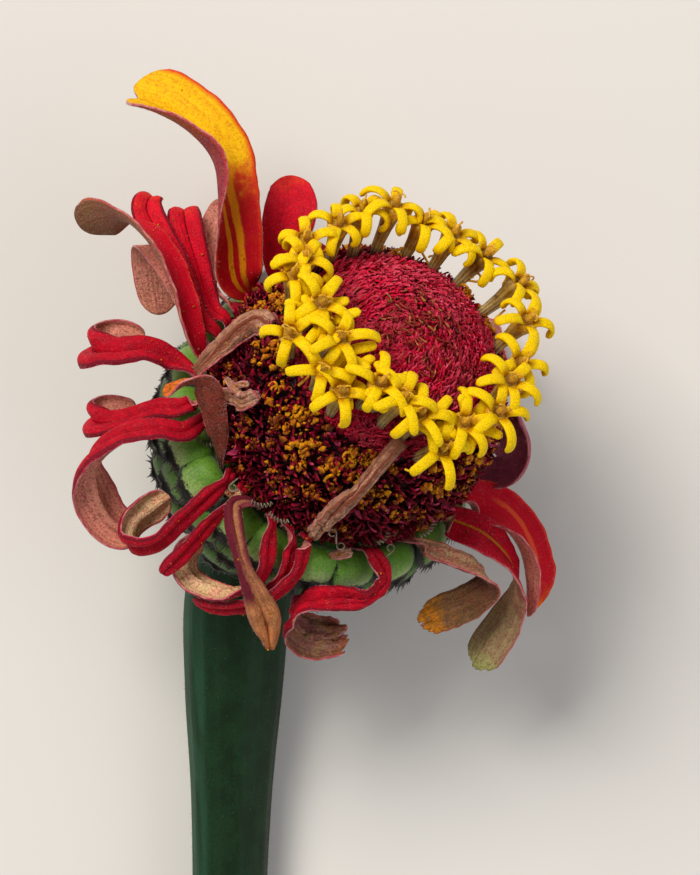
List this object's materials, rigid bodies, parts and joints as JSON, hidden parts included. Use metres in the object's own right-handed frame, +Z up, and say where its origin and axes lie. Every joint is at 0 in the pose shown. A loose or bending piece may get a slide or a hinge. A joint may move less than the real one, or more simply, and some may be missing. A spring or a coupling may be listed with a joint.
{
  "type": "zinnia flower",
  "caption": "Fading zinnia laid on its back: crimson cone of chaff ringed by yellow florets, curled dried ray petals, green bract cup and a short bent stem",
  "frame": {"origin": "on the surface the flower lies on, under the middle of its bounding box", "axes": "+Z up from the surface, +Y along the stem from its cut end to the head, +X to the right as seen from above"},
  "size_m": [0.041, 0.0788, 0.0394],
  "materials": {
    "stem_green": "waxy living stem with a pale bluish bloom",
    "bract_green": "waxy scales with ragged dark margins",
    "chaff_crimson": "rough packed chaff dusted with pollen",
    "floret_yellow": "short fuzz on fleshy lobes",
    "petal_red": "velvety red above, dusty pink and brown with fine hairs below",
    "petal_dried": "dry, wrinkled and papery"
  },
  "bodies": {
    "root": {"stem": "stem_green", "bract_cup": "bract_green", "chaff_cone": "chaff_crimson", "disc_florets": "floret_yellow", "petal_01_behind_dome": "petal_red", "petal_02_arched": "petal_red", "petal_03_behind_arch": "petal_red", "petal_04_blunt": "petal_red", "petal_05_hooked": "petal_red", "petal_06_drooping": "petal_red", "petal_07_flag": "petal_red", "petal_08_looped": "petal_red", "petal_09_tucked": "petal_red", "petal_10_wide_bow": "petal_red", "petal_11_raised": "petal_red", "petal_12_folded_back": "petal_red", "petal_13_strap": "petal_red", "petal_14_rolled": "petal_dried", "petal_15_hook": "petal_red", "petal_16_inner_bow": "petal_red", "petal_17_outer_bow": "petal_red", "petal_18_ragged": "petal_red", "petal_19_bent_brown": "petal_red", "petal_20_hanging": "petal_red", "petal_21_striped": "petal_red", "petal_22_cupped": "petal_red", "petal_23_right_rest": "petal_red", "petal_24_back_right": "petal_red", "petal_25_back": "petal_red", "petal_26_left_rest": "petal_red", "withered_floret_left": "petal_dried", "withered_floret_front": "petal_dried", "withered_floret_small": "petal_dried"}
  },
  "joints": []
}
